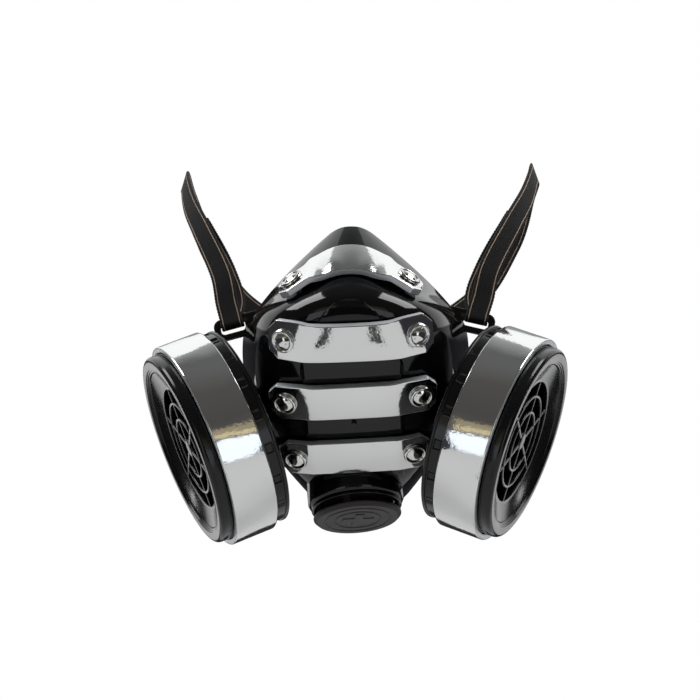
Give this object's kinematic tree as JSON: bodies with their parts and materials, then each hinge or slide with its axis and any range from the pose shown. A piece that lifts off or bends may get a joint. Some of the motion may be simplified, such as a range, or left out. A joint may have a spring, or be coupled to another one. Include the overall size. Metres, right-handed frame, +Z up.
{
  "type": "cyber mask",
  "caption": "Glossy black half mask of the cyber kind with chrome strips riveted across the front, chrome-banded filter canisters, an outlet valve and a woven head strap.",
  "frame": {"origin": "the point of the mask's rim that sits on the bridge of the wearer's nose, on the mid plane", "axes": "+Y back towards the wearer's head, which is also the longest way through the part with its strap, +Z up, and +X to the right as the mask is looked at from the front"},
  "size_m": [0.1962, 0.2233, 0.176],
  "materials": {
    "gloss_black": "high gloss",
    "satin_black": "semi-gloss",
    "mirror_film": "mirror film",
    "chrome": "polished",
    "woven_elastic": "woven"
  },
  "bodies": {
    "root": {"mask_shell": "gloss_black", "valve_housing": "gloss_black", "valve_cap": "satin_black", "nose_strip": "mirror_film", "nose_strip_rivet_left": "chrome", "nose_strip_rivet_right": "chrome", "upper_strip": "mirror_film", "upper_strip_rivet_left": "chrome", "upper_strip_rivet_right": "chrome", "middle_strip": "mirror_film", "middle_strip_rivet_left": "chrome", "middle_strip_rivet_right": "chrome", "lower_strip": "mirror_film", "lower_strip_rivet_left": "chrome", "lower_strip_rivet_right": "chrome", "canister_body_left": "satin_black", "canister_band_left": "mirror_film", "filter_cover_left": "satin_black", "canister_body_right": "satin_black", "canister_band_right": "mirror_film", "filter_cover_right": "satin_black", "head_strap": "woven_elastic"}
  },
  "joints": []
}
